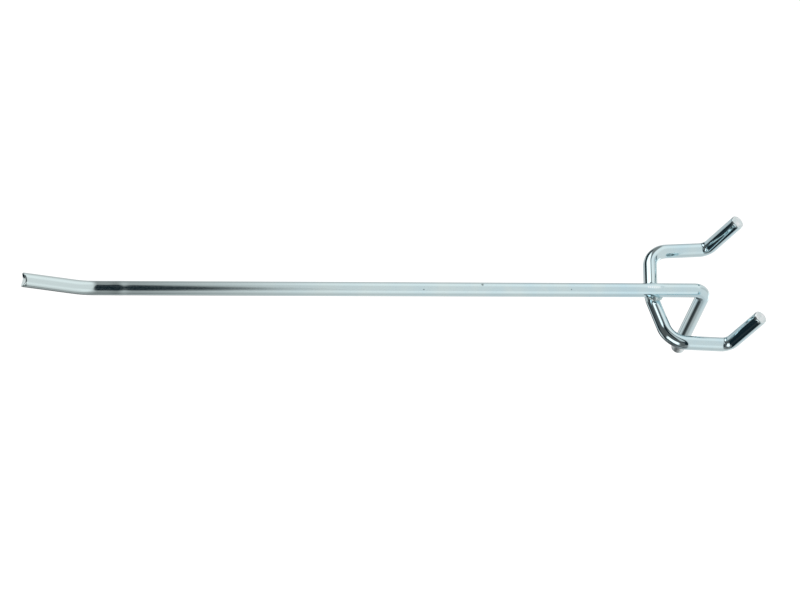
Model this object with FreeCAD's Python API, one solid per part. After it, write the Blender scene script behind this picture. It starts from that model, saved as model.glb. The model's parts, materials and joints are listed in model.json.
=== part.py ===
import FreeCAD, Part
import math
import os

# A pegboard hook of two bent steel wires, cross-welded. The frame is the hook's place on its board:
# the board's front face is the plane Y = 0, +Y goes into the board, -Y out along the arm, +Z is up,
# and the origin lies midway between the two holes, level with the wire that enters them.

Vector = FreeCAD.Vector

# Driving dimensions in millimetres
wire_diameter = 3.05
hole_pitch = 25.4

# Hook arm: reach is from the board's face to the middle of the tip's end
reach = 152.4
tip_length = 13.5
tip_rise_angle = 12.3
tip_bend_radius = 20.0
leg_drop = 22.4
arm_bend_radius = 2.6

# Prong wire: a bowed yoke in front of the board, two legs, and two prongs behind the board
yoke_standoff = 11.45
yoke_bow = 2.0
yoke_toe_in = 0.73
yoke_nose_radius = 9.0
yoke_corner_radius = 4.8
prong_set_back = 1.9
prong_length = 11.45
prong_rise_angle = 68.3
prong_bend_radius = 2.6

# Weld where the arm crosses the yoke: the wires are pressed into each other by the set-down
weld_set_down = 0.6
weld_fusion_margin = 0.15
weld_fusion_depth = 0.6
weld_flash_width = 0.66
electrode_radius = 14.0
electrode_dent = 0.12

# Rounding left on each cut end by the tumbling before plating
end_rounding = 0.28

# Values worked out from the dimensions above
wire_radius = wire_diameter / 2
arm_height = wire_diameter - weld_set_down
half_pitch = hole_pitch / 2


def turn_angle(before, corner, after):
    """Angle in radians by which a path turns at a corner."""
    return (corner - before).getAngle(after - corner)


def bend_points(before, corner, after, radius):
    """Start, middle and end of the arc that rounds a corner of a path."""
    half_turn = turn_angle(before, corner, after) / 2
    to_before = (before - corner).normalize()
    to_after = (after - corner).normalize()
    inward = (to_before + to_after).normalize()
    tangent_length = radius * math.tan(half_turn)
    middle_depth = radius * (1 / math.cos(half_turn) - 1)
    start = corner + to_before * tangent_length
    middle = corner + inward * middle_depth
    end = corner + to_after * tangent_length
    return start, middle, end


def wire_axis(corners, radii):
    """Path of straight runs and tangent arcs; radii has one bend radius per inner corner."""
    edges = []
    run_start = corners[0]
    for before, corner, after, radius in zip(corners, corners[1:], corners[2:], radii):
        start, middle, end = bend_points(before, corner, after, radius)
        edges.append(Part.LineSegment(run_start, start).toShape())
        edges.append(Part.Arc(start, middle, end).toShape())
        run_start = end
    edges.append(Part.LineSegment(run_start, corners[-1]).toShape())
    return Part.Wire(edges)


def round_cut_ends(wire, ends):
    """Rounds the rim of the flat face at each of a wire's two ends."""
    rims = []
    for edge in wire.Edges:
        centre = edge.Curve.Center if isinstance(edge.Curve, Part.Circle) else None
        if centre is not None and any(centre.isEqual(end, wire_radius / 100) for end in ends):
            rims.append(edge)
    return wire.makeFillet(end_rounding, rims)


def bent_wire(corners, radii):
    """Round wire bent along its corners, with both cut ends rounded."""
    path = wire_axis(corners, radii)
    section = Part.Circle(corners[0], corners[1] - corners[0], wire_radius).toShape()
    swept = path.makePipe(Part.Face(Part.Wire(section)))
    return round_cut_ends(swept, (corners[0], corners[-1]))


def electrode_dish(centre_line, axis):
    """Cylinder whose edge leaves the shallow dish of a welding electrode."""
    dish_length = wire_diameter * 2
    return Part.makeCylinder(electrode_radius, dish_length, centre_line - axis * (dish_length / 2), axis)


def arm_corners():
    """Axis of the arm from the foot of its leg, round the rear bend, to its raised tip."""
    tip_angle = math.radians(tip_rise_angle)
    leg_line = -wire_radius
    foot = Vector(0, leg_line, arm_height - leg_drop)
    rear = Vector(0, leg_line, arm_height)
    tip_start = Vector(0, tip_length * math.cos(tip_angle) - reach, arm_height)
    tip_end = Vector(0, -reach, arm_height + tip_length * math.sin(tip_angle))
    return [foot, rear, tip_start, tip_end]


def yoke_corners():
    """Axis of the prong wire from one prong's end, round the yoke, to the other's."""
    prong_angle = math.radians(prong_rise_angle)
    prong_run = Vector(0, math.cos(prong_angle), math.sin(prong_angle)) * prong_length
    nose = Vector(0, -yoke_standoff - yoke_bow, 0)
    sides = []
    for side in (-1, 1):
        heel = Vector(side * half_pitch, prong_set_back, 0)
        shoulder = Vector(side * (half_pitch - yoke_toe_in), -yoke_standoff, 0)
        sides.append([heel + prong_run, heel, shoulder])
    return sides[0] + [nose] + sides[1][::-1]


def weld_centre():
    """Point midway between the two wires' axes where they cross."""
    shoulder_left, nose, shoulder_right = yoke_corners()[2:5]
    crossing = bend_points(shoulder_left, nose, shoulder_right, yoke_nose_radius)[1]
    return crossing + Vector(0, 0, arm_height / 2)


def make_weld_nugget():
    """Fused metal at the crossing, with a round bead of flash squeezed out between the wires."""
    overlap_reach = math.sqrt(2) * math.sqrt(wire_radius ** 2 - (arm_height / 2) ** 2)
    core_radius = overlap_reach + weld_fusion_margin
    flash_radius = core_radius + weld_flash_width
    half_height = weld_set_down / 2 + weld_fusion_depth
    top_middle = Vector(0, 0, half_height)
    top_rim = Vector(core_radius, 0, half_height)
    flash_rim = Vector(flash_radius, 0, 0)
    bottom_rim = Vector(core_radius, 0, -half_height)
    bottom_middle = Vector(0, 0, -half_height)
    outline = Part.Wire([
        Part.LineSegment(bottom_middle, top_middle).toShape(),
        Part.LineSegment(top_middle, top_rim).toShape(),
        Part.Arc(top_rim, flash_rim, bottom_rim).toShape(),
        Part.LineSegment(bottom_rim, bottom_middle).toShape(),
    ])
    nugget = Part.Face(outline).revolve(Vector(0, 0, 0), Vector(0, 0, 1), 360)
    nugget.translate(weld_centre())
    return nugget


def make_hook_arm(nugget):
    """Long wire that carries the goods, with the electrode's dish above the weld."""
    arm = bent_wire(arm_corners(), [arm_bend_radius, tip_bend_radius])
    dish_height = arm_height + wire_radius - electrode_dent + electrode_radius
    dish = electrode_dish(Vector(0, weld_centre().y, dish_height), Vector(1, 0, 0))
    return arm.cut([dish, nugget])


def make_prong_wire(nugget):
    """U-shaped wire that hangs on the board, with the electrode's dish under the weld."""
    radii = [prong_bend_radius, yoke_corner_radius, yoke_nose_radius, yoke_corner_radius, prong_bend_radius]
    wire = bent_wire(yoke_corners(), radii)
    dish_height = electrode_dent - wire_radius - electrode_radius
    dish = electrode_dish(Vector(0, weld_centre().y, dish_height), Vector(0, 1, 0))
    return wire.cut([dish, nugget])


weld_nugget = make_weld_nugget()
nodes = {
    "hook_arm": make_hook_arm(weld_nugget),
    "prong_wire": make_prong_wire(weld_nugget),
    "weld_nugget": weld_nugget,
}

os.makedirs("parts", exist_ok=True)
for name, shape in nodes.items():
    (solid,) = shape.Solids
    solid.exportStep(f"parts/{name}.step")
    print(name, f"{solid.Volume:.2f} mm3", solid.isValid())
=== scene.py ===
"""A welded wire pegboard hook in bright zinc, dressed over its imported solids, in a white studio."""

import json
import math

import bmesh
import bpy
from bpy.props import FloatProperty, FloatVectorProperty, IntProperty, PointerProperty
from mathutils import Matrix, Quaternion, Vector


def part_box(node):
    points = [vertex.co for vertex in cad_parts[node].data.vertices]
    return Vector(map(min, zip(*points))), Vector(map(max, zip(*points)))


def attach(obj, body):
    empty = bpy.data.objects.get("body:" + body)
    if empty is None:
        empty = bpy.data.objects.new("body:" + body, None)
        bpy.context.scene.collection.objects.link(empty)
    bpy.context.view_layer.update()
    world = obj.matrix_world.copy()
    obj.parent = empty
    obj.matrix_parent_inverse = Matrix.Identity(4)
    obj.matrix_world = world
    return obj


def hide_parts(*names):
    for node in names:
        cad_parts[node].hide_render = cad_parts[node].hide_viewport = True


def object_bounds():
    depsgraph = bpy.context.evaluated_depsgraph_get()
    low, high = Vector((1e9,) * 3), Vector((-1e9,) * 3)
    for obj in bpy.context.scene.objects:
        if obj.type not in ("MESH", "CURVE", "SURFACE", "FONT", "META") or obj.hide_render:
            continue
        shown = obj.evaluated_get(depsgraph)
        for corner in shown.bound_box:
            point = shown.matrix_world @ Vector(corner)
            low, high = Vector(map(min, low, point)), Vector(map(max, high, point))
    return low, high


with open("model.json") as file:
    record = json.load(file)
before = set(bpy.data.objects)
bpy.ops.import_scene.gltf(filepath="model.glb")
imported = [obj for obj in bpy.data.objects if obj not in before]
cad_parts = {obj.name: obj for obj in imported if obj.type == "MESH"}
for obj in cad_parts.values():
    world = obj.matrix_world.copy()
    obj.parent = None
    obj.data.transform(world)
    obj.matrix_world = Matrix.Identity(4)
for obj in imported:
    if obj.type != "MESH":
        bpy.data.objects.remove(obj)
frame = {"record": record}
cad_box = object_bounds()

bl_info = {
    "name": "Pegboard Hook",
    "version": (1, 0, 0),
    "blender": (4, 5, 0),
    "location": "3D View > Sidebar > Pegboard Hook",
    "description": "Bends, welds and plates a pegboard hook and lights it in a white studio",
    "category": "Add Mesh",
}

MM = 0.001
LINE_ATTRIBUTE = "wire_line"
UP = Vector((0.0, 0.0, 1.0))

# fineness of the plating's textures, per metre
CLOUD_SCALE = 160.0
GRAIN_SCALE = 900.0
FRAY_SCALE = 2500.0
LINE_SCALE_ALONG = 60.0
LINE_SCALE_ACROSS = 3000.0

# heights of the plating's textures; a mark's is a multiple of a drawn line's
LINE_DEPTH = 0.002 * MM
CUT_DEPTH = 0.002 * MM
FLASH_DEPTH = 0.02 * MM
MARK_DEPTH = 20.0

# waves of the weld's flash round the weld: how many there are, and where they start
FLASH_LOBES = ((3, 0.6), (5, 2.4))
FLASH_BEADS = ((13, 1.0), (4, 0.0))
FLASH_SWELL = (5, 1.0)

mounts = {mount["name"]: mount for mount in frame["record"]["mounts"]}
arm_low, arm_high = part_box("hook_arm")
weld_low, weld_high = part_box("weld_nugget")
weld_centre = (weld_low + weld_high) / 2
weld_radius = (weld_high.x - weld_low.x) / 2


def length_setting(name, description, millimetres):
    """Setting for a length."""
    return FloatProperty(
        name=name, description=description, default=millimetres * MM, unit="LENGTH", precision=6
    )


def point_setting(name, description, millimetres):
    """Setting for a point."""
    return FloatVectorProperty(
        name=name,
        description=description,
        default=[value * MM for value in millimetres],
        subtype="XYZ",
        unit="LENGTH",
        precision=6,
    )


def angle_setting(name, description, degrees):
    """Setting for an angle."""
    return FloatProperty(
        name=name, description=description, default=math.radians(degrees), subtype="ANGLE"
    )


def share_setting(name, description, share):
    """Setting for a share of a whole."""
    return FloatProperty(name=name, description=description, default=share, subtype="FACTOR")


def colour_setting(name, description, colour):
    """Setting for a colour."""
    return FloatVectorProperty(name=name, description=description, default=colour, subtype="COLOR")


def light_setting(name, description, brightness):
    """Setting for a brightness."""
    return FloatProperty(name=name, description=description, default=brightness)


class HookSizes(bpy.types.PropertyGroup):
    """Sizes of the two bent wires and of their weld."""

    wire_radius: length_setting(
        "Wire Radius", "Radius of the drawn wire", mounts["tip"]["dims"]["r_mm"]
    )
    end_rounding: length_setting("End Rounding", "Radius left on the rim of each cut end", 0.28)
    end_hollow: length_setting(
        "End Hollow", "Depth of the hollow that the shear leaves in each cut end", 0.05
    )
    cut_reach: length_setting(
        "Cut Reach", "How far the dull zinc of a prong's cut end reaches along it", 0.143
    )
    foot_reach: length_setting(
        "Foot Reach", "How far the dull zinc of the leg's cut end reaches up the leg", 2.2
    )
    shear_depth: length_setting(
        "Shear Depth", "Depth of the trough that the cutter left across the tip's end", 0.50
    )
    shear_width: length_setting("Shear Width", "Distance between the two lips of that trough", 2.6)
    shear_lip: length_setting(
        "Shear Lip", "How much further the upper lip stands out than the lower one", 0.10
    )
    shear_slant: angle_setting("Shear Slant", "Slope of that trough along its length", -5.0)
    shear_turn: angle_setting(
        "Shear Turn", "Turn of that trough about the tip, from lying level", 52.0
    )
    tip_bend_radius: length_setting(
        "Tip Bend Radius", "Radius of the arm's gentle bend at its raised tip", 20.0
    )
    arm_bend_radius: length_setting(
        "Arm Bend Radius", "Radius of the arm's tight bend into its leg", 2.6
    )
    yoke_standoff: length_setting(
        "Yoke Standoff", "Distance of the yoke's shoulders from the board", 11.45
    )
    yoke_bow: length_setting(
        "Yoke Bow", "How far the yoke's nose stands in front of its shoulders", 2.0
    )
    yoke_toe_in: length_setting("Yoke Toe-in", "How far each shoulder lies inside its hole", 0.73)
    yoke_nose_radius: length_setting(
        "Yoke Nose Radius", "Radius of the bend where the yoke passes under the arm", 9.0
    )
    yoke_corner_radius: length_setting(
        "Yoke Corner Radius", "Radius of the bend at each shoulder of the yoke", 4.8
    )
    prong_bend_radius: length_setting(
        "Prong Bend Radius", "Radius of the tight bend into each prong", 2.6
    )
    bend_flattening: share_setting(
        "Bend Flattening", "Share of its height that the wire loses in the tightest bend", 0.05
    )
    clamp_mark_height: length_setting(
        "Clamp Mark Height",
        "Height of the faint ring that the bending tool's jaw left round the arm",
        0.014,
    )
    clamp_mark_width: length_setting("Clamp Mark Width", "Half width of that ring", 1.2)
    clamp_mark_distance: length_setting(
        "Clamp Mark Distance", "Distance of that ring from the corner of the tip's bend", 7.4
    )
    electrode_radius: length_setting(
        "Electrode Radius", "Radius of the electrode that pressed the wires together", 14.0
    )
    electrode_dent: length_setting(
        "Electrode Dent", "Depth of the dish left by the electrode", 0.12
    )
    electrode_softness: length_setting(
        "Electrode Softness", "How gently that dish runs out into the wire", 0.10
    )
    flash_lean: share_setting(
        "Flash Lean",
        "Share by which the weld's flash reaches further towards the board than away from it",
        0.12,
    )
    flash_unevenness: share_setting(
        "Flash Unevenness",
        "Share by which the weld's flash swells and shrinks round the weld",
        0.09,
    )
    ring_spacing: length_setting(
        "Ring Spacing", "Distance between the rings of a wire's straight runs", 0.5
    )
    bend_step: angle_setting("Bend Step", "Turn between the rings of a wire's bends", 4.0)
    wire_sides: IntProperty(
        name="Wire Sides",
        description="Number of sides of a wire's section",
        default=64,
    )
    weld_sides: IntProperty(
        name="Weld Sides",
        description="Number of sides of the weld, seen from above",
        default=96,
    )


class PlatingColours(bpy.types.PropertyGroup):
    """Colours of the zinc on the wires, their cut ends and the weld."""

    zinc_pale: colour_setting(
        "Pale Zinc", "Colour of the plating where it is thin and bright", (0.70, 0.82, 0.825)
    )
    zinc_deep: colour_setting(
        "Deep Zinc", "Colour of the plating where it is thick and bluish", (0.585, 0.775, 0.845)
    )
    speck: colour_setting("Speck", "Colour of the small stains on the plating", (0.26, 0.33, 0.33))
    # painted highlights: pure white dots in the zinc's colour stand for small glints on the arm above
    # the weld, taken for the electrode's mark
    painted_glint: colour_setting(
        "Painted Glint", "Colour of the plating where the electrode burnished it", (1.0, 1.0, 1.0)
    )
    cut_end: colour_setting("Cut End", "Colour of the plated cut ends", (0.96, 0.975, 0.985))
    weld: colour_setting("Weld", "Colour of the plated weld", (0.50, 0.64, 0.65))
    zinc_polish: share_setting("Zinc Polish", "Least roughness of the plated wire", 0.045)
    cut_polish: share_setting("Cut Polish", "Least roughness of the cut ends", 0.26)
    weld_polish: share_setting("Weld Polish", "Least roughness of the weld", 0.30)


class PlatingMarks(bpy.types.PropertyGroup):
    """Places of the few marks on the arm's plating, and of a row of painted highlights on the arm."""

    nick: point_setting("Nick", "Place of the nick on the arm's upper side", (-0.22, -52.7, 3.96))
    nick_size: length_setting("Nick Size", "Radius of the nick", 0.55)
    front_stain: point_setting(
        "Front Stain", "Place of the stain nearer the tip", (0.90, -65.9, 3.68)
    )
    rear_stain: point_setting(
        "Rear Stain", "Place of the stain nearer the board", (0.80, -32.8, 3.75)
    )
    stain_size: length_setting("Stain Size", "Radius of a stain", 0.23)
    # the row is a row of painted highlights: white dots that stand for glints, taken for the
    # electrode's mark
    row: point_setting(
        "Row",
        "Middle of the row of dots that the electrode burnished on the arm",
        (0.15, -13.9, 3.9),
    )
    row_length: length_setting("Row Length", "Length of that row", 2.8)
    row_width: length_setting("Row Width", "Width of that row", 0.5)
    row_pitch: length_setting("Row Pitch", "Distance between the dots of that row", 0.43)


class StudioSettings(bpy.types.PropertyGroup):
    """Camera and light of the studio."""

    aim: point_setting("Aim", "Point at the middle of the picture", (-9.345, -65.43, -14.98))
    distance: length_setting("Distance", "Distance of the camera from the point it aims at", 820.0)
    azimuth: angle_setting(
        "Azimuth", "Turn of the camera round the hook, from straight in front of the board", 64.77
    )
    elevation: angle_setting("Elevation", "Height of the camera above the horizon", 52.38)
    roll: angle_setting("Roll", "Turn of the camera about its own line of sight", 20.65)
    lens: FloatProperty(
        name="Lens",
        description="Focal length on a 36 mm sensor, in millimetres",
        default=168.28,
        subtype="DISTANCE_CAMERA",
    )
    room_light: light_setting(
        "Room Light", "Brightness of the white room as the metal mirrors it", 0.80
    )
    white_light: light_setting("White Light", "Brightness of the softboxes and the window", 1.5)
    front_light: light_setting(
        "Front Light", "Brightness of the dim half of the room in front of the hook", 0.25
    )
    grey_light: light_setting(
        "Grey Light", "Brightness of the grey flags in front of the hook", 0.11
    )
    dark_light: colour_setting(
        "Dark Light",
        "Colour of the black flags, which have a little teal in them",
        (0.008, 0.018, 0.024),
    )
    backdrop_light: light_setting(
        "Backdrop Light", "Brightness of the white ground as the camera sees it", 1.1
    )


def pin_line(mount):
    """Middle point, direction and half length of a pin-shaped mount."""
    return Vector(mount["pos_m"]), Vector(mount["axis"]), mount["dims"]["length_mm"] * MM / 2


def arm_corners(sizes):
    """Axis of the arm from the foot of its leg, round the rear bend, to its raised tip."""
    arm_level = mounts["arm"]["pos_m"][2]
    leg_line = arm_high.y - sizes.wire_radius
    middle, along, half_length = pin_line(mounts["tip"])
    tip_end = middle + along * (half_length + sizes.end_rounding)
    tip_corner = middle - along * ((middle.z - arm_level) / along.z)
    return [
        Vector((0.0, leg_line, arm_low.z)),
        Vector((0.0, leg_line, arm_level)),
        tip_corner,
        tip_end,
    ]


def yoke_corners(sizes):
    """Axis of the prong wire from one prong's end, round the yoke, to the other's."""
    sides = []
    for name in ("prong_left", "prong_right"):
        middle, along, half_length = pin_line(mounts[name])
        prong_end = middle + along * (half_length + sizes.end_rounding)
        heel = middle - along * (middle.z / along.z)
        toe_in = math.copysign(sizes.yoke_toe_in, heel.x)
        shoulder = Vector((heel.x - toe_in, -sizes.yoke_standoff, heel.z))
        sides.append([prong_end, heel, shoulder])
    nose = Vector((0.0, -sizes.yoke_standoff - sizes.yoke_bow, 0.0))
    return sides[0] + [nose] + sides[1][::-1]


def start_ring(bm, centre, direction, sizes):
    """Open ring at the start of a wire; each point keeps its place on the straight wire."""
    line = bm.verts.layers.float_vector.new(LINE_ATTRIBUTE)
    place = Matrix.Translation(centre) @ direction.to_track_quat("Z", "Y").to_matrix().to_4x4()
    made = bmesh.ops.create_circle(
        bm, cap_ends=False, segments=sizes.wire_sides, radius=sizes.wire_radius, matrix=place
    )
    back = place.inverted()
    for vert in made["verts"]:
        section = back @ vert.co
        vert[line] = Vector((0.0, section.x, section.y))
    return list(bm.edges)


def extend_ring(bm, ring, step):
    """Extrudes an open ring in place; the new points are one step further along the wire."""
    line = bm.verts.layers.float_vector[LINE_ATTRIBUTE]
    made = bmesh.ops.extrude_edge_only(bm, edges=ring)["geom"]
    verts = [part for part in made if isinstance(part, bmesh.types.BMVert)]
    edges = [part for part in made if isinstance(part, bmesh.types.BMEdge) and part.is_boundary]
    for vert in verts:
        vert[line] = vert[line] + Vector((step, 0.0, 0.0))
    return verts, edges


def ring_centre(verts):
    """Middle of a ring's points."""
    return sum((vert.co for vert in verts), Vector()) / len(verts)


def draw_run(bm, ring, offset, sizes):
    """Straight run of wire."""
    steps = max(1, round(offset.length / sizes.ring_spacing))
    step = offset / steps
    for _ in range(steps):
        verts, ring = extend_ring(bm, ring, step.length)
        bmesh.ops.translate(bm, verts=verts, vec=step)
    return ring


def draw_bend(bm, ring, centre, axis, angle, radius, sizes):
    """Bend of wire about a centre, a little flattened towards its middle as bent wire is."""
    steps = max(2, round(angle / sizes.bend_step))
    turn = Matrix.Rotation(angle / steps, 3, axis)
    flattening = sizes.bend_flattening * sizes.prong_bend_radius / radius
    height = 1.0
    for number in range(1, steps + 1):
        verts, ring = extend_ring(bm, ring, radius * angle / steps)
        bmesh.ops.rotate(bm, verts=verts, cent=centre, matrix=turn)
        new_height = 1.0 - flattening * math.sin(math.pi * number / steps) ** 2
        middle = ring_centre(verts)
        outward = (middle - centre).normalized()
        facing = outward.to_track_quat("Z", "Y").to_matrix().to_4x4()
        space = (Matrix.Translation(middle) @ facing).inverted()
        bmesh.ops.scale(bm, verts=verts, vec=(1.0, 1.0, new_height / height), space=space)
        height = new_height
    return ring


def close_end(bm, ring, outward, sizes):
    """Closes a wire with a cut end: a rounded rim and a face that is a little hollow."""
    rim_steps = 5
    radius = sizes.wire_radius
    depth = 0.0
    for number in range(1, rim_steps + 1):
        angle = math.pi / 2 * number / rim_steps
        new_depth = sizes.end_rounding * math.sin(angle)
        new_radius = sizes.wire_radius - sizes.end_rounding * (1.0 - math.cos(angle))
        ring = shrink_ring(bm, ring, outward * (new_depth - depth), new_radius / radius)
        depth = new_depth
        radius = new_radius
    face_steps = 6
    flat_radius = radius
    hollow = 0.0
    for number in range(1, face_steps):
        share = number / face_steps
        new_hollow = sizes.end_hollow * math.sin(math.pi / 2 * share) ** 2
        new_radius = flat_radius * (1.0 - share)
        ring = shrink_ring(bm, ring, outward * (hollow - new_hollow), new_radius / radius)
        hollow = new_hollow
        radius = new_radius
    bmesh.ops.contextual_create(bm, geom=ring)


def shrink_ring(bm, ring, offset, factor):
    """Extrudes a ring, moves it and scales it about its own middle."""
    verts, ring = extend_ring(bm, ring, 0.0)
    bmesh.ops.translate(bm, verts=verts, vec=offset)
    space = Matrix.Translation(-ring_centre(verts))
    bmesh.ops.scale(bm, verts=verts, vec=(factor, factor, factor), space=space)
    return ring


def draw_wire(bm, corners, radii, sizes):
    """Round wire drawn along its corners, bent at each inner one and closed at both cut ends."""
    first_way = (corners[1] - corners[0]).normalized()
    last_way = (corners[-1] - corners[-2]).normalized()
    here = corners[0] + first_way * sizes.end_rounding
    first_ring = start_ring(bm, here, first_way, sizes)
    ring = first_ring
    for before, corner, after, radius in zip(corners, corners[1:], corners[2:], radii):
        way_in = (corner - before).normalized()
        way_out = (after - corner).normalized()
        angle = way_in.angle(way_out)
        tangent_length = radius * math.tan(angle / 2)
        bend_start = corner - way_in * tangent_length
        inward = (way_out - way_in).normalized()
        centre = corner + inward * (radius / math.cos(angle / 2))
        ring = draw_run(bm, ring, bend_start - here, sizes)
        ring = draw_bend(bm, ring, centre, way_in.cross(way_out).normalized(), angle, radius, sizes)
        here = corner + way_out * tangent_length
    last_end = corners[-1] - last_way * sizes.end_rounding
    ring = draw_run(bm, ring, last_end - here, sizes)
    close_end(bm, ring, last_way, sizes)
    close_end(bm, first_ring, -first_way, sizes)
    bmesh.ops.recalc_face_normals(bm, faces=bm.faces)


def mark_cut_end(bm, end, inner, reach, sizes):
    """Gives a cut end the second material, as far along the wire as that reaches."""
    inward = (inner - end).normalized()
    for face in bm.faces:
        offset = face.calc_center_median() - end
        if offset.length < sizes.wire_radius + reach and offset.dot(inward) < reach:
            face.material_index = 1


def shear_tip(bm, end, outward, sizes):
    """Presses the cutter's slanted trough into the tip's end, one lip longer than the other."""
    level = Vector((1.0, 0.0, 0.0))
    along = Quaternion(outward, sizes.shear_turn) @ level
    across = outward.cross(along)
    half_width = sizes.shear_width / 2
    fade = 2.0 * sizes.wire_radius
    for vert in bm.verts:
        offset = vert.co - end
        share = 1.0 + offset.dot(outward) / fade
        if offset.length < fade and share > 0.0:
            place = offset.dot(across) / half_width
            trough = sizes.shear_depth * max(0.0, 1.0 - place ** 2) - sizes.shear_depth / 2
            slant = math.tan(sizes.shear_slant) * offset.dot(along)
            lip = sizes.shear_lip * place / 2
            vert.co += outward * (share * (lip - trough - slant))


def raise_clamp_mark(bm, centre, sizes):
    """Raises the faint ring that the bending tool's jaw left round the arm."""
    farthest_place = 3.0
    near_arm = 2.0 * sizes.wire_radius
    for vert in bm.verts:
        place = (vert.co.y - centre.y) / sizes.clamp_mark_width
        outward = Vector((vert.co.x, 0.0, vert.co.z - centre.z))
        if abs(place) < farthest_place and outward.length < near_arm:
            vert.co += outward.normalized() * (sizes.clamp_mark_height * math.exp(-place ** 2))


def press_dish(bm, direction, surface, across, sizes):
    """Presses the electrode's shallow dish, with a soft rim, into a wire's outer side."""
    deepest = surface - sizes.electrode_dent
    for vert in bm.verts:
        offset = (vert.co - weld_centre).dot(across)
        if abs(offset) < sizes.electrode_radius / 2:
            rise = sizes.electrode_radius - math.sqrt(sizes.electrode_radius ** 2 - offset ** 2)
            excess = vert.co.dot(direction) - deepest - rise
            pressed = (excess + math.hypot(excess, sizes.electrode_softness)) / 2
            vert.co -= direction * pressed


def flatten_contact(bm, direction, contact):
    """Flattens a wire where it is fused to the other, just short of the plane between them."""
    for vert in bm.verts:
        aside = vert.co - weld_centre
        if Vector((aside.x, aside.y)).length < weld_radius:
            level = vert.co.dot(direction)
            if level > contact:
                vert.co += direction * (contact - level)


def finished_piece(bm, name, node, materials):
    """Makes a smooth object of a mesh, which rides on the hook's one body in place of a solid."""
    mesh = bpy.data.meshes.new(name)
    for face in bm.faces:
        face.smooth = True
    bm.to_mesh(mesh)
    bm.free()
    for material in materials:
        mesh.materials.append(material)
    piece = bpy.data.objects.new(name, mesh)
    bpy.context.scene.collection.objects.link(piece)
    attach(piece, "root")
    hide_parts(node)
    return piece


def add_node(tree, kind, inputs, **settings):
    """Adds a node; an input that is given as a socket is linked, any other is set."""
    node = tree.nodes.new(kind)
    for name, value in settings.items():
        setattr(node, name, value)
    for key, value in inputs.items():
        if isinstance(value, bpy.types.NodeSocket):
            tree.links.new(value, node.inputs[key])
        else:
            node.inputs[key].default_value = value
    return node


def calculate(tree, operation, first, second=0.0):
    """One step of arithmetic."""
    return add_node(tree, "ShaderNodeMath", {0: first, 1: second}, operation=operation).outputs[0]


def dot_product(tree, first, second):
    """Dot product of two vectors."""
    product = add_node(tree, "ShaderNodeVectorMath", {0: first, 1: second}, operation="DOT_PRODUCT")
    return product.outputs["Value"]


def soft_step(tree, value, low, high):
    """0 under one value and 1 over another, with a smooth rise between them."""
    step = add_node(
        tree,
        "ShaderNodeMapRange",
        {"Value": value, "From Min": low, "From Max": high},
        interpolation_type="SMOOTHSTEP",
    )
    return step.outputs["Result"]


def mix_colours(tree, mask, below, above):
    """Colour that goes from one to another with a mask."""
    mixer = add_node(tree, "ShaderNodeMix", {0: mask, 6: below, 7: above}, data_type="RGBA")
    return mixer.outputs[2]


def shader_group(name, inputs, outputs):
    """Empty shader node group with its sockets."""
    group = bpy.data.node_groups.new(name, "ShaderNodeTree")
    for socket_name, kind in inputs:
        group.interface.new_socket(name=socket_name, in_out="INPUT", socket_type=kind)
    for socket_name, kind in outputs:
        group.interface.new_socket(name=socket_name, in_out="OUTPUT", socket_type=kind)
    entry = group.nodes.new("NodeGroupInput")
    leave = group.nodes.new("NodeGroupOutput")
    return group, entry, leave


def drawn_lines_group():
    """Fine lines that the die leaves along a drawn wire, as a height."""
    name = "Drawn Lines"
    if name in bpy.data.node_groups:
        return bpy.data.node_groups[name]
    group, entry, leave = shader_group(
        name,
        [
            ("Vector", "NodeSocketVector"),
            ("Along", "NodeSocketFloat"),
            ("Across", "NodeSocketFloat"),
        ],
        [("Height", "NodeSocketFloat")],
    )
    across = entry.outputs["Across"]
    stretch = add_node(
        group, "ShaderNodeCombineXYZ", {"X": entry.outputs["Along"], "Y": across, "Z": across}
    )
    place = add_node(
        group,
        "ShaderNodeVectorMath",
        {0: entry.outputs["Vector"], 1: stretch.outputs[0]},
        operation="MULTIPLY",
    )
    lines = add_node(
        group,
        "ShaderNodeTexNoise",
        {"Vector": place.outputs[0], "Scale": 1.0, "Detail": 3.0, "Roughness": 0.6},
    )
    group.links.new(lines.outputs["Fac"], leave.inputs["Height"])
    return group


def plating_cloud_group():
    """Slow clouding of electroplated zinc, as a mask."""
    name = "Plating Cloud"
    if name in bpy.data.node_groups:
        return bpy.data.node_groups[name]
    group, entry, leave = shader_group(
        name,
        [("Vector", "NodeSocketVector"), ("Scale", "NodeSocketFloat")],
        [("Mask", "NodeSocketFloat")],
    )
    cloud = add_node(
        group,
        "ShaderNodeTexNoise",
        {
            "Vector": entry.outputs["Vector"],
            "Scale": entry.outputs["Scale"],
            "Detail": 4.0,
            "Roughness": 0.55,
        },
    )
    spread = add_node(
        group,
        "ShaderNodeMapRange",
        {"Value": cloud.outputs["Fac"], "From Min": 0.3, "From Max": 0.7},
    )
    group.links.new(spread.outputs["Result"], leave.inputs["Mask"])
    return group


def mark_group():
    """One rough-edged mark on the plating, as a mask."""
    name = "Plating Mark"
    if name in bpy.data.node_groups:
        return bpy.data.node_groups[name]
    group, entry, leave = shader_group(
        name,
        [
            ("Vector", "NodeSocketVector"),
            ("Place", "NodeSocketVector"),
            ("Size", "NodeSocketFloat"),
        ],
        [("Mask", "NodeSocketFloat")],
    )
    distance = add_node(
        group,
        "ShaderNodeVectorMath",
        {0: entry.outputs["Vector"], 1: entry.outputs["Place"]},
        operation="DISTANCE",
    )
    share = calculate(group, "DIVIDE", distance.outputs["Value"], entry.outputs["Size"])
    fray = add_node(
        group, "ShaderNodeTexNoise", {"Vector": entry.outputs["Vector"], "Scale": FRAY_SCALE}
    )
    frayed = calculate(group, "ADD", share, fray.outputs["Fac"])
    mask = calculate(group, "SUBTRACT", 1.0, soft_step(group, frayed, low=0.7, high=1.3))
    group.links.new(mask, leave.inputs["Mask"])
    return group


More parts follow.
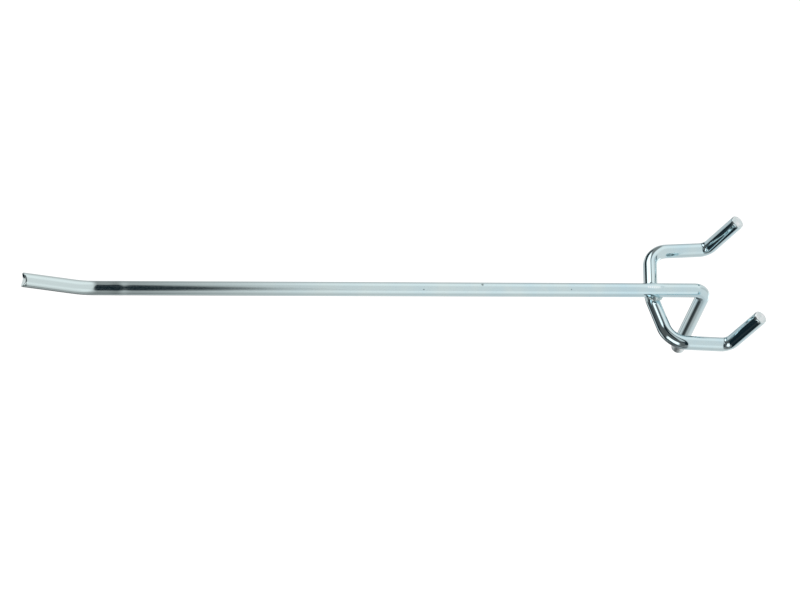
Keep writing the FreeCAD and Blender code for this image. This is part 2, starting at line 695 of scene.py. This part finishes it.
def painted_glint_row_group():
    """Short row of small dots along a wire, as a mask for painted highlights, taken for the marks of
    the electrode's edge.
    """
    name = "Burnished Row"
    if name in bpy.data.node_groups:
        return bpy.data.node_groups[name]
    vectors = [("Vector", "NodeSocketVector"), ("Place", "NodeSocketVector")]
    lengths = [(socket, "NodeSocketFloat") for socket in ("Length", "Width", "Pitch")]
    group, entry, leave = shader_group(name, vectors + lengths, [("Mask", "NodeSocketFloat")])
    offset = add_node(
        group,
        "ShaderNodeVectorMath",
        {0: entry.outputs["Vector"], 1: entry.outputs["Place"]},
        operation="SUBTRACT",
    )
    parts = add_node(group, "ShaderNodeSeparateXYZ", {"Vector": offset.outputs[0]})
    aside, along, above = parts.outputs
    turns = calculate(group, "DIVIDE", along, entry.outputs["Pitch"])
    wave = calculate(group, "SINE", calculate(group, "MULTIPLY", turns, 2 * math.pi))
    mask = soft_step(group, wave, low=0.0, high=0.8)
    for part, size in ((along, "Length"), (aside, "Width"), (above, "Width")):
        distance = calculate(group, "ABSOLUTE", part)
        share = calculate(group, "DIVIDE", distance, entry.outputs[size])
        inside = calculate(group, "SUBTRACT", 1.0, soft_step(group, share, low=0.4, high=0.6))
        mask = calculate(group, "MULTIPLY", mask, inside)
    group.links.new(mask, leave.inputs["Mask"])
    return group


def new_material(name):
    """Empty material with a Principled shader on its output."""
    material = bpy.data.materials.new(name)
    material.use_nodes = True
    tree = material.node_tree
    tree.nodes.clear()
    output = tree.nodes.new("ShaderNodeOutputMaterial")
    shader = tree.nodes.new("ShaderNodeBsdfPrincipled")
    tree.links.new(shader.outputs[0], output.inputs["Surface"])
    return material, tree, shader


def place_group(tree, group, inputs):
    """Places a node group in a tree with its own values."""
    return add_node(tree, "ShaderNodeGroup", inputs, node_tree=group)


def zinc_wire_material(colours, marks):
    """Bright zinc on drawn wire: clouded, bluer towards the board, with fine lines, marks and a row
    of painted highlights.
    """
    name = "Zinc Wire"
    if name in bpy.data.materials:
        return bpy.data.materials[name]
    material, tree, shader = new_material(name)
    place = tree.nodes.new("ShaderNodeTexCoord").outputs["Object"]
    line = add_node(tree, "ShaderNodeAttribute", {}, attribute_name=LINE_ATTRIBUTE)
    cloud = place_group(tree, plating_cloud_group(), {"Vector": place, "Scale": CLOUD_SCALE})
    lines = place_group(
        tree,
        drawn_lines_group(),
        {"Vector": line.outputs["Vector"], "Along": LINE_SCALE_ALONG, "Across": LINE_SCALE_ACROSS},
    )
    along_arm = add_node(tree, "ShaderNodeSeparateXYZ", {"Vector": place}).outputs["Y"]
    near_board = soft_step(tree, along_arm, arm_low.y, arm_high.y)
    thickness = calculate(tree, "MULTIPLY", cloud.outputs["Mask"], near_board)
    colour = mix_colours(tree, thickness, (*colours.zinc_pale, 1.0), (*colours.zinc_deep, 1.0))
    spots = (
        (marks.nick, marks.nick_size),
        (marks.front_stain, marks.stain_size),
        (marks.rear_stain, marks.stain_size),
    )
    marked = 0.0
    for spot, size in spots:
        mark = place_group(tree, mark_group(), {"Vector": place, "Place": spot, "Size": size})
        marked = calculate(tree, "MAXIMUM", mark.outputs["Mask"], marked)
    colour = mix_colours(tree, marked, colour, (*colours.speck, 1.0))
    # paints pure white dots on the arm above the weld: painted highlights, taken for the electrode's
    # mark
    row = place_group(
        tree,
        painted_glint_row_group(),
        {
            "Vector": place,
            "Place": marks.row,
            "Length": marks.row_length,
            "Width": marks.row_width,
            "Pitch": marks.row_pitch,
        },
    )
    colour = mix_colours(tree, row.outputs["Mask"], colour, (*colours.painted_glint, 1.0))
    tree.links.new(colour, shader.inputs["Base Color"])
    dullest = 2.0 * colours.zinc_polish
    rough = add_node(
        tree,
        "ShaderNodeMapRange",
        {
            "Value": lines.outputs["Height"],
            "From Min": 0.3,
            "From Max": 0.7,
            "To Min": colours.zinc_polish,
            "To Max": dullest,
        },
    )
    tree.links.new(rough.outputs["Result"], shader.inputs["Roughness"])
    hollow = calculate(tree, "MULTIPLY", marked, MARK_DEPTH)
    height = calculate(tree, "SUBTRACT", lines.outputs["Height"], hollow)
    bump = add_node(
        tree, "ShaderNodeBump", {"Strength": 0.2, "Distance": LINE_DEPTH, "Height": height}
    )
    tree.links.new(bump.outputs["Normal"], shader.inputs["Normal"])
    shader.inputs["Metallic"].default_value = 1.0
    return material


def clouded_zinc(name, first, second, polish, depth):
    """Duller zinc whose colour, roughness and height follow one fine cloud."""
    if name in bpy.data.materials:
        return bpy.data.materials[name]
    material, tree, shader = new_material(name)
    place = tree.nodes.new("ShaderNodeTexCoord").outputs["Object"]
    grain = place_group(tree, plating_cloud_group(), {"Vector": place, "Scale": GRAIN_SCALE})
    cloud = grain.outputs["Mask"]
    colour = mix_colours(tree, cloud, (*first, 1.0), (*second, 1.0))
    tree.links.new(colour, shader.inputs["Base Color"])
    dullest = 1.6 * polish
    rough = add_node(
        tree, "ShaderNodeMapRange", {"Value": cloud, "To Min": polish, "To Max": dullest}
    )
    tree.links.new(rough.outputs["Result"], shader.inputs["Roughness"])
    bump = add_node(tree, "ShaderNodeBump", {"Strength": 0.5, "Distance": depth, "Height": cloud})
    tree.links.new(bump.outputs["Normal"], shader.inputs["Normal"])
    shader.inputs["Metallic"].default_value = 1.0
    return material


def cut_end_material(colours):
    """Sheared wire end under zinc: matt and pale."""
    return clouded_zinc(
        "Sheared End", colours.cut_end, colours.zinc_pale, colours.cut_polish, CUT_DEPTH
    )


def weld_material(colours):
    """Zinc over weld flash: duller and lumpier than the wire."""
    return clouded_zinc(
        "Zinc Weld", colours.zinc_pale, colours.weld, colours.weld_polish, FLASH_DEPTH
    )


class HOOK_OT_bend_arm(bpy.types.Operator):
    """Bends the long wire: raised tip, arm, rear bend and leg."""

    bl_idname = "pegboard_hook.bend_arm"
    bl_label = "Bend Arm"

    def execute(self, context):
        sizes = context.scene.hook_sizes
        colours = context.scene.plating_colours
        marks = context.scene.plating_marks
        corners = arm_corners(sizes)
        bm = bmesh.new()
        draw_wire(bm, corners, [sizes.arm_bend_radius, sizes.tip_bend_radius], sizes)
        mark_cut_end(bm, corners[0], corners[1], sizes.foot_reach, sizes)
        shear_tip(bm, corners[-1], (corners[-1] - corners[-2]).normalized(), sizes)
        raise_clamp_mark(bm, corners[2] + Vector((0.0, sizes.clamp_mark_distance, 0.0)), sizes)
        arm_top = corners[1].z + sizes.wire_radius
        press_dish(bm, UP, arm_top, Vector((0.0, 1.0, 0.0)), sizes)
        flatten_contact(bm, -UP, -weld_centre.z)
        materials = [zinc_wire_material(colours, marks), cut_end_material(colours)]
        finished_piece(bm, "arm_wire", "hook_arm", materials)
        return {"FINISHED"}


class HOOK_OT_bend_yoke(bpy.types.Operator):
    """Bends the prong wire: two prongs, two legs and the yoke under the arm."""

    bl_idname = "pegboard_hook.bend_yoke"
    bl_label = "Bend Yoke"

    def execute(self, context):
        sizes = context.scene.hook_sizes
        colours = context.scene.plating_colours
        marks = context.scene.plating_marks
        corners = yoke_corners(sizes)
        radii = [
            sizes.prong_bend_radius,
            sizes.yoke_corner_radius,
            sizes.yoke_nose_radius,
            sizes.yoke_corner_radius,
            sizes.prong_bend_radius,
        ]
        bm = bmesh.new()
        draw_wire(bm, corners, radii, sizes)
        mark_cut_end(bm, corners[0], corners[1], sizes.cut_reach, sizes)
        mark_cut_end(bm, corners[-1], corners[-2], sizes.cut_reach, sizes)
        press_dish(bm, -UP, sizes.wire_radius, Vector((1.0, 0.0, 0.0)), sizes)
        flatten_contact(bm, UP, weld_centre.z)
        materials = [zinc_wire_material(colours, marks), cut_end_material(colours)]
        finished_piece(bm, "yoke_wire", "prong_wire", materials)
        return {"FINISHED"}


def squeeze_flash(bm, sizes):
    """Swells a round weld unevenly, as flash squeezed out between two wires does."""
    number_of_waves = len(FLASH_LOBES) + 1
    for vert in bm.verts:
        angle = math.atan2(vert.co.y, vert.co.x)
        lobes = sum(math.sin(count * angle + start) for count, start in FLASH_LOBES)
        beads = math.prod(math.sin(count * angle + start) for count, start in FLASH_BEADS)
        swell = math.sin(FLASH_SWELL[0] * angle + FLASH_SWELL[1])
        lean = sizes.flash_lean * math.sin(angle)
        spread = 1.0 + lean + sizes.flash_unevenness * (lobes + beads) / number_of_waves
        vert.co.x *= spread
        vert.co.y *= spread
        vert.co.z *= 1.0 + 2 * sizes.flash_unevenness * swell


class HOOK_OT_fuse_weld(bpy.types.Operator):
    """Fuses the weld: a bun of metal with uneven flash squeezed out between the wires."""

    bl_idname = "pegboard_hook.fuse_weld"
    bl_label = "Fuse Weld"

    def execute(self, context):
        sizes = context.scene.hook_sizes
        colours = context.scene.plating_colours
        bm = bmesh.new()
        sides = sizes.weld_sides
        bmesh.ops.create_uvsphere(bm, u_segments=sides, v_segments=sides // 2, radius=1.0)
        bmesh.ops.scale(bm, verts=bm.verts, vec=(weld_high - weld_low) / 2)
        squeeze_flash(bm, sizes)
        bmesh.ops.translate(bm, verts=bm.verts, vec=weld_centre)
        finished_piece(bm, "weld_bead", "weld_nugget", [weld_material(colours)])
        return {"FINISHED"}


def direction_of(azimuth, elevation):
    """Direction from the hook, in degrees round from straight in front and above the horizon."""
    turn = math.radians(azimuth)
    rise = math.radians(elevation)
    level = math.cos(rise)
    return Vector((math.sin(turn) * level, -math.cos(turn) * level, math.sin(rise)))


def grey(level):
    """Neutral colour of one brightness."""
    return (level, level, level, 1.0)


def studio_card_group():
    """Soft-edged card among the directions round the hook, as a mask; its sizes are angles."""
    name = "Studio Card"
    if name in bpy.data.node_groups:
        return bpy.data.node_groups[name]
    vectors = [(socket, "NodeSocketVector") for socket in ("Look", "Front", "Right", "Up")]
    angles = [(socket, "NodeSocketFloat") for socket in ("Width", "Height", "Softness")]
    group, entry, leave = shader_group(name, vectors + angles, [("Mask", "NodeSocketFloat")])
    look = entry.outputs["Look"]
    ahead = dot_product(group, look, entry.outputs["Front"])
    aside = dot_product(group, look, entry.outputs["Right"])
    above = dot_product(group, look, entry.outputs["Up"])
    turn = calculate(group, "ARCTAN2", aside, ahead)
    rise = calculate(group, "ARCSINE", above)
    masks = []
    for angle, size in ((turn, "Width"), (rise, "Height")):
        reach = calculate(group, "ADD", entry.outputs[size], entry.outputs["Softness"])
        half_reach = calculate(group, "MULTIPLY", reach, 0.5)
        inside = calculate(group, "SUBTRACT", half_reach, calculate(group, "ABSOLUTE", angle))
        masks.append(soft_step(group, inside, 0.0, entry.outputs["Softness"]))
    mask = calculate(group, "MULTIPLY", *masks)
    group.links.new(mask, leave.inputs["Mask"])
    return group


def hang_card(tree, look, light, colour, place, size, roll=0, softness=8):
    """Hangs a card before the light that is there.

    Its place is an azimuth and an elevation, and its size a width and a height, all in degrees.
    """
    turn = math.radians(place[0])
    front = direction_of(*place)
    level = Vector((math.cos(turn), math.sin(turn), 0.0))
    tilt = Quaternion(front, math.radians(roll))
    card = place_group(
        tree,
        studio_card_group(),
        {
            "Look": look,
            "Front": front,
            "Right": tilt @ level,
            "Up": tilt @ front.cross(level),
            "Width": math.radians(size[0]),
            "Height": math.radians(size[1]),
            "Softness": math.radians(softness),
        },
    )
    return mix_colours(tree, card.outputs["Mask"], light, colour)


def cone(tree, look, pole, inner, outer):
    """Mask of a cone of directions about a pole: 1 within one angle of it and 0 beyond another."""
    dot = dot_product(tree, look, direction_of(*pole))
    return soft_step(tree, dot, math.cos(math.radians(outer)), math.cos(math.radians(inner)))


def hang_back_cards(tree, look, light, studio):
    """Panels behind the hook, which the arm's sides and the yoke's back mirror."""
    window = grey(studio.white_light)
    # broad pale panel, high on the left
    light = hang_card(tree, look, light, grey(0.98), place=(-122, 45), size=(60, 35), softness=26)
    # grey strip under it, which outlines the arm's and the legs' upper edge
    light = hang_card(tree, look, light, grey(0.56), place=(-107, -14), size=(26, 44), softness=14)
    # pale strip on the right
    light = hang_card(tree, look, light, grey(0.96), place=(106, 13), size=(18, 32), softness=14)
    # grey skirt, low on the right
    light = hang_card(tree, look, light, grey(0.68), place=(110, -40), size=(34, 40), softness=18)
    # tall grey post, behind on the left
    light = hang_card(tree, look, light, grey(0.64), place=(-161, 10), size=(22, 60), softness=16)
    # low window, straight behind
    light = hang_card(tree, look, light, window, place=(-166, -36), size=(30, 20), softness=12)
    return light


def dim_front(tree, look, light, studio):
    """Dim half of the room in front of the hook, with a black arch over the arm's front half."""
    dim_half = cone(tree, look, pole=(0, 0), inner=99.5, outer=104.8)
    light = mix_colours(tree, dim_half, light, grey(studio.front_light))
    arch = cone(tree, look, pole=(3.0, 4.3), inner=96.9, outer=98.5)
    over_arm = cone(tree, look, pole=(90, 63), inner=40, outer=58)
    black = calculate(tree, "MULTIPLY", arch, over_arm)
    light = mix_colours(tree, black, light, (*studio.dark_light, 1.0))
    # pale strip of ceiling across the arm
    light = hang_card(tree, look, light, grey(0.62), place=(90, 84), size=(15, 46), softness=5)
    # tall dark post on the right
    light = hang_card(tree, look, light, grey(0.14), place=(84, 16), size=(16, 60), softness=5)
    return light


def hang_front_cards(tree, look, light, studio):
    """Two softboxes among grey and black flags in front of the hook, which its bends mirror."""
    dark = (*studio.dark_light, 1.0)
    flag = grey(studio.grey_light)
    softbox = grey(studio.white_light)
    # black flag under the ceiling
    light = hang_card(tree, look, light, dark, place=(-30, 68), size=(49, 15))
    # grey flag, high ahead
    light = hang_card(tree, look, light, flag, place=(27, 47), size=(71, 37), softness=12)
    # grey flag, straight ahead
    light = hang_card(tree, look, light, flag, place=(1, 8), size=(49, 47), roll=-4, softness=2)
    # softboxes on the left and on the right
    light = hang_card(
        tree, look, light, softbox, place=(-58, 38), size=(43, 40), roll=-8, softness=7
    )
    light = hang_card(tree, look, light, softbox, place=(49, 7), size=(44, 38), softness=10)
    # black flag under the left softbox, and the pale gap beside it
    light = hang_card(tree, look, light, dark, place=(-64, -7), size=(46, 34), roll=4, softness=6)
    light = hang_card(
        tree, look, light, grey(0.60), place=(-36, -10), size=(10, 30), roll=-13, softness=3
    )
    return light


def lay_low_cards(tree, look, light, studio):
    """Black flags and pale reflectors below the hook, which the prongs mirror."""
    dark = (*studio.dark_light, 1.0)
    # pale strip under the left flag
    light = hang_card(tree, look, light, grey(0.66), place=(-45, -24), size=(46, 13), softness=6)
    # black flag ahead, and the black strip that leaves it on the right
    light = hang_card(tree, look, light, dark, place=(14, -32), size=(70, 37), roll=-3, softness=4)
    light = hang_card(tree, look, light, dark, place=(62, -32), size=(70, 13), roll=-26, softness=4)
    # grey pocket between those two, and the black strip below it
    light = hang_card(tree, look, light, grey(0.45), place=(43, -38), size=(24, 11), softness=6)
    light = hang_card(tree, look, light, dark, place=(44, -51), size=(24, 8), softness=6)
    # grey patch of floor on the right
    light = hang_card(tree, look, light, grey(0.50), place=(96, -54), size=(22, 14))
    # long pale reflector on the left
    light = hang_card(
        tree, look, light, grey(0.80), place=(-59, -46), size=(100, 22), roll=-18, softness=20
    )
    # shade straight below
    light = hang_card(
        tree, look, light, grey(0.07), place=(-22, -85), size=(125, 14), roll=14, softness=25
    )
    # grey patch of floor behind, and the black strip under the reflector
    light = hang_card(tree, look, light, grey(0.50), place=(-114, -50), size=(34, 40), softness=12)
    light = hang_card(tree, look, light, dark, place=(-64, -64), size=(46, 17), softness=6)
    return light


def light_room(scene, studio):
    """White room with softboxes and flags, as the metal mirrors it; plain white to the camera."""
    world = bpy.data.worlds.new("White Studio")
    scene.world = world
    world.use_nodes = True
    tree = world.node_tree
    tree.nodes.clear()
    look = tree.nodes.new("ShaderNodeTexCoord").outputs["Generated"]
    light = grey(studio.room_light)
    for hang in (hang_back_cards, dim_front, hang_front_cards, lay_low_cards):
        light = hang(tree, look, light, studio)
    path = tree.nodes.new("ShaderNodeLightPath")
    light = mix_colours(tree, path.outputs["Is Camera Ray"], light, grey(studio.backdrop_light))
    background = add_node(tree, "ShaderNodeBackground", {"Color": light, "Strength": 1.0})
    output = tree.nodes.new("ShaderNodeOutputWorld")
    tree.links.new(background.outputs[0], output.inputs["Surface"])


def lay_floor(scene, studio):
    """Plain white floor under the hook, which its bright metal doesn't mirror."""
    half_size = 3.0
    gap = 2.0 * MM
    bm = bmesh.new()
    bmesh.ops.create_grid(bm, x_segments=1, y_segments=1, size=half_size)
    bmesh.ops.translate(bm, verts=bm.verts, vec=(0.0, 0.0, cad_box[0].z - gap))
    mesh = bpy.data.meshes.new("floor")
    bm.to_mesh(mesh)
    bm.free()
    material = bpy.data.materials.new("White Floor")
    material.use_nodes = True
    tree = material.node_tree
    tree.nodes.clear()
    glow = add_node(
        tree, "ShaderNodeEmission", {"Color": grey(1.0), "Strength": studio.backdrop_light}
    )
    output = tree.nodes.new("ShaderNodeOutputMaterial")
    tree.links.new(glow.outputs[0], output.inputs["Surface"])
    mesh.materials.append(material)
    floor = bpy.data.objects.new("floor", mesh)
    scene.collection.objects.link(floor)
    floor.visible_glossy = False


def set_camera(scene, studio):
    """Camera on the hook from above its right side."""
    towards = direction_of(math.degrees(studio.azimuth), math.degrees(studio.elevation))
    turn = towards.to_track_quat("Z", "Y") @ Quaternion((0.0, 0.0, 1.0), studio.roll)
    data = bpy.data.cameras.new("camera")
    data.lens = studio.lens
    data.sensor_width = 36.0
    data.clip_start = 0.01
    camera = bpy.data.objects.new("camera", data)
    camera.location = Vector(studio.aim) + towards * studio.distance
    camera.rotation_euler = turn.to_euler()
    scene.collection.objects.link(camera)
    scene.camera = camera


class HOOK_OT_set_stage(bpy.types.Operator):
    """Sets the white studio, its floor and the camera."""

    bl_idname = "pegboard_hook.set_stage"
    bl_label = "Set Stage"

    def execute(self, context):
        studio = context.scene.studio_settings
        light_room(context.scene, studio)
        lay_floor(context.scene, studio)
        set_camera(context.scene, studio)
        context.scene.view_settings.view_transform = "Standard"
        return {"FINISHED"}


class HOOK_PT_panel(bpy.types.Panel):
    """Lists the steps that make the hook, and its sizes and colours."""

    bl_idname = "HOOK_PT_panel"
    bl_label = "Pegboard Hook"
    bl_space_type = "VIEW_3D"
    bl_region_type = "UI"
    bl_category = "Pegboard Hook"

    def draw(self, context):
        for operator in operators:
            self.layout.operator(operator.bl_idname)
        for group in groups:
            settings = getattr(context.scene, group)
            box = self.layout.box()
            for name in settings.__annotations__:
                box.prop(settings, name)


groups = {
    "hook_sizes": HookSizes,
    "plating_colours": PlatingColours,
    "plating_marks": PlatingMarks,
    "studio_settings": StudioSettings,
}
operators = (HOOK_OT_bend_arm, HOOK_OT_bend_yoke, HOOK_OT_fuse_weld, HOOK_OT_set_stage)


def register():
    """Registers the settings, the steps and the panel."""
    for name, group in groups.items():
        bpy.utils.register_class(group)
        setattr(bpy.types.Scene, name, PointerProperty(type=group))
    for operator in operators:
        bpy.utils.register_class(operator)
    bpy.utils.register_class(HOOK_PT_panel)


def unregister():
    """Takes out what register put in."""
    bpy.utils.unregister_class(HOOK_PT_panel)
    for operator in reversed(operators):
        bpy.utils.unregister_class(operator)
    for name, group in reversed(groups.items()):
        delattr(bpy.types.Scene, name)
        bpy.utils.unregister_class(group)


def main():
    """Makes the hook and its stage."""
    register()
    bpy.ops.pegboard_hook.bend_arm()
    bpy.ops.pegboard_hook.bend_yoke()
    bpy.ops.pegboard_hook.fuse_weld()
    bpy.ops.pegboard_hook.set_stage()


if __name__ == "__main__":
    main()
